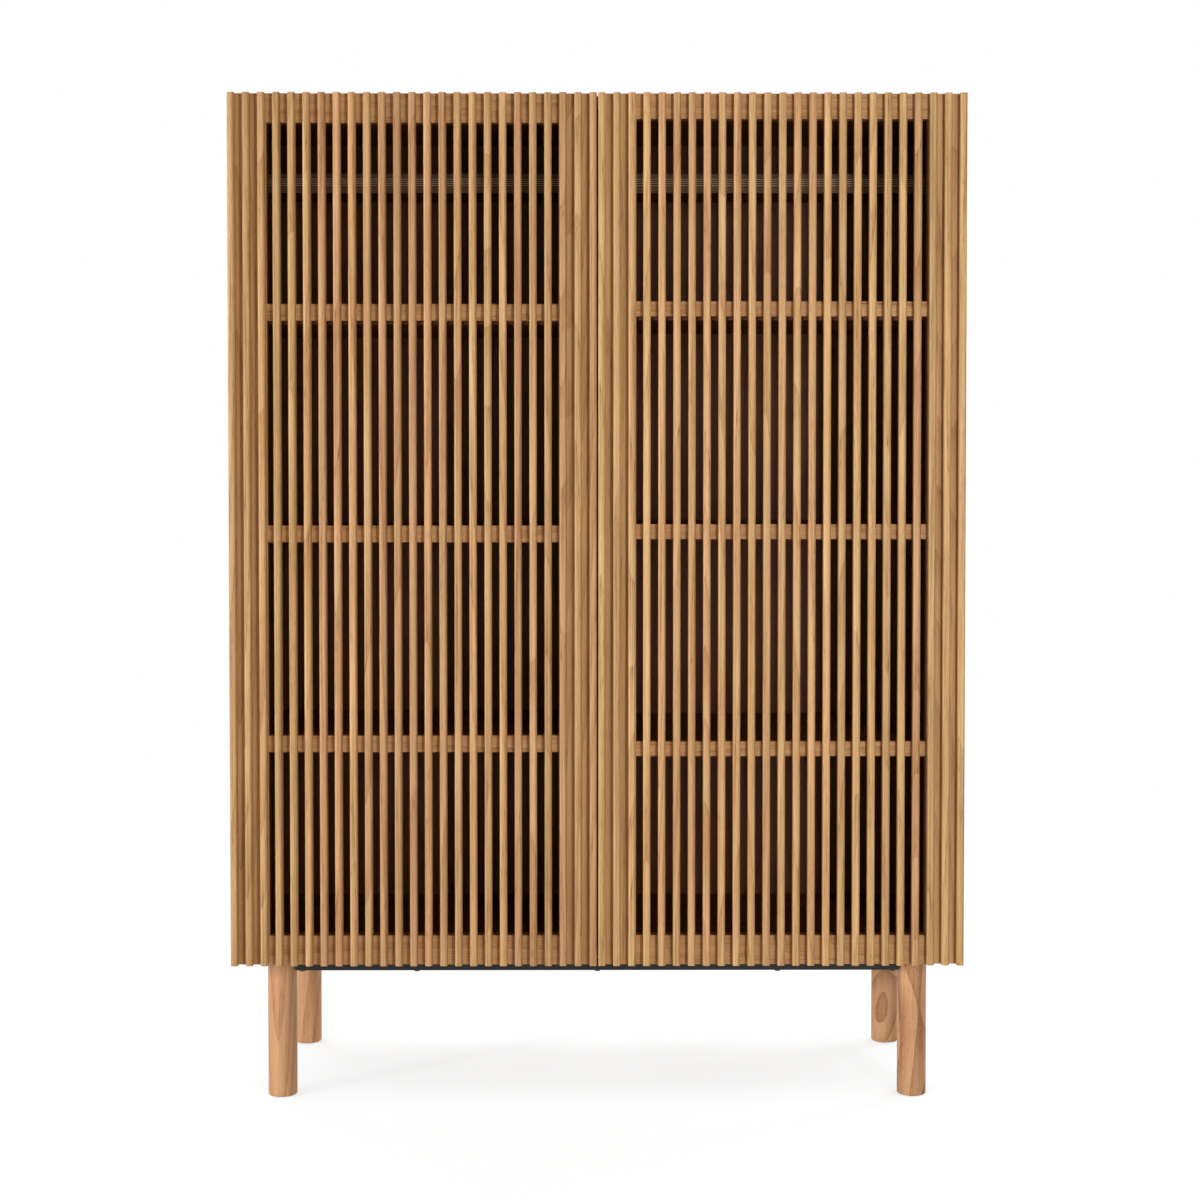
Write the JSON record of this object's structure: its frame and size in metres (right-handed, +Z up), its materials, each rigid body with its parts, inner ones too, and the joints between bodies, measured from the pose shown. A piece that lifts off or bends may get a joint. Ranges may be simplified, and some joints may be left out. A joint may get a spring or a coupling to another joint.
{
  "type": "louvred door cabinet",
  "caption": "Tall oak cabinet on round legs, with a black steel underframe, adjustable shelves and a pair of hinged doors faced with upright slats.",
  "frame": {"origin": "middle of the footprint, on the floor", "axes": "+Z up, -Y out of the doors, +X to the right of someone facing the doors"},
  "size_m": [1, 0.4, 1.375],
  "materials": {
    "oak_panel": "satin",
    "dark_panel": "satin",
    "dark_shelf": "satin",
    "oak_door": "satin",
    "oak_slat": "satin",
    "oak_leg": "satin",
    "steel_pin": "bright",
    "hinge_steel": "nickel plated",
    "black_steel": "matt powder coat",
    "bolt_steel": "black oxide",
    "latch_plastic": "matt",
    "rubber": "matt",
    "glide_plastic": "matt"
  },
  "bodies": {
    "cabinet": {"left_side_panel": "oak_panel", "right_side_panel": "oak_panel", "top_panel": "oak_panel", "bottom_panel": "oak_panel", "centre_divider": "dark_panel", "left_back_panel": "dark_panel", "right_back_panel": "dark_panel", "left_top_shelf": "dark_shelf", "right_top_shelf": "dark_shelf", "left_upper_shelf": "dark_shelf", "left_middle_shelf": "dark_shelf", "left_lower_shelf": "dark_shelf", "right_upper_shelf": "dark_shelf", "right_middle_shelf": "dark_shelf", "right_lower_shelf": "dark_shelf", "shelf_pins": "steel_pin", "left_hinge_arms": "hinge_steel", "left_hinge_plates": "hinge_steel", "left_latch_housing": "latch_plastic", "left_frame_tube": "black_steel", "right_hinge_arms": "hinge_steel", "right_hinge_plates": "hinge_steel", "right_latch_housing": "latch_plastic", "right_frame_tube": "black_steel", "door_buffers": "rubber", "front_frame_tube": "black_steel", "back_frame_tube": "black_steel", "leg_plates": "black_steel", "frame_bolts": "bolt_steel", "leg_bolts": "bolt_steel", "front_left_leg": "oak_leg", "front_right_leg": "oak_leg", "back_left_leg": "oak_leg", "back_right_leg": "oak_leg", "leg_glides": "glide_plastic"},
    "left_door": {"left_hinge_stile": "oak_door", "left_meeting_stile": "oak_door", "left_top_rail": "oak_door", "left_upper_rail": "oak_door", "left_middle_rail": "oak_door", "left_lower_rail": "oak_door", "left_bottom_rail": "oak_door", "left_slats": "oak_slat", "left_hinge_cups": "hinge_steel", "left_hinge_pins": "steel_pin", "left_strike": "hinge_steel"},
    "right_door": {"right_hinge_stile": "oak_door", "right_meeting_stile": "oak_door", "right_top_rail": "oak_door", "right_upper_rail": "oak_door", "right_middle_rail": "oak_door", "right_lower_rail": "oak_door", "right_bottom_rail": "oak_door", "right_slats": "oak_slat", "right_hinge_cups": "hinge_steel", "right_hinge_pins": "steel_pin", "right_strike": "hinge_steel"},
    "left_plunger": {"left_latch_plunger": "latch_plastic"},
    "right_plunger": {"right_latch_plunger": "latch_plastic"}
  },
  "joints": [
    {"name": "left_door_hinge", "type": "hinge", "parent": "cabinet", "child": "left_door", "pos_m": [-0.49, -0.1775, 0.78], "axis": [0, 0, -1], "range_deg": [0, 95]},
    {"name": "right_door_hinge", "type": "hinge", "parent": "cabinet", "child": "right_door", "pos_m": [0.49, -0.1775, 0.78], "axis": [0, 0, 1], "range_deg": [0, 95]},
    {"name": "left_latch_press", "type": "slide", "parent": "cabinet", "child": "left_plunger", "axis": [0, 1, 0], "range_m": [0, 0.003], "stiffness_N_per_m": 200, "springref_m": -0.005},
    {"name": "right_latch_press", "type": "slide", "parent": "cabinet", "child": "right_plunger", "axis": [0, 1, 0], "range_m": [0, 0.003], "stiffness_N_per_m": 200, "springref_m": -0.005}
  ]
}
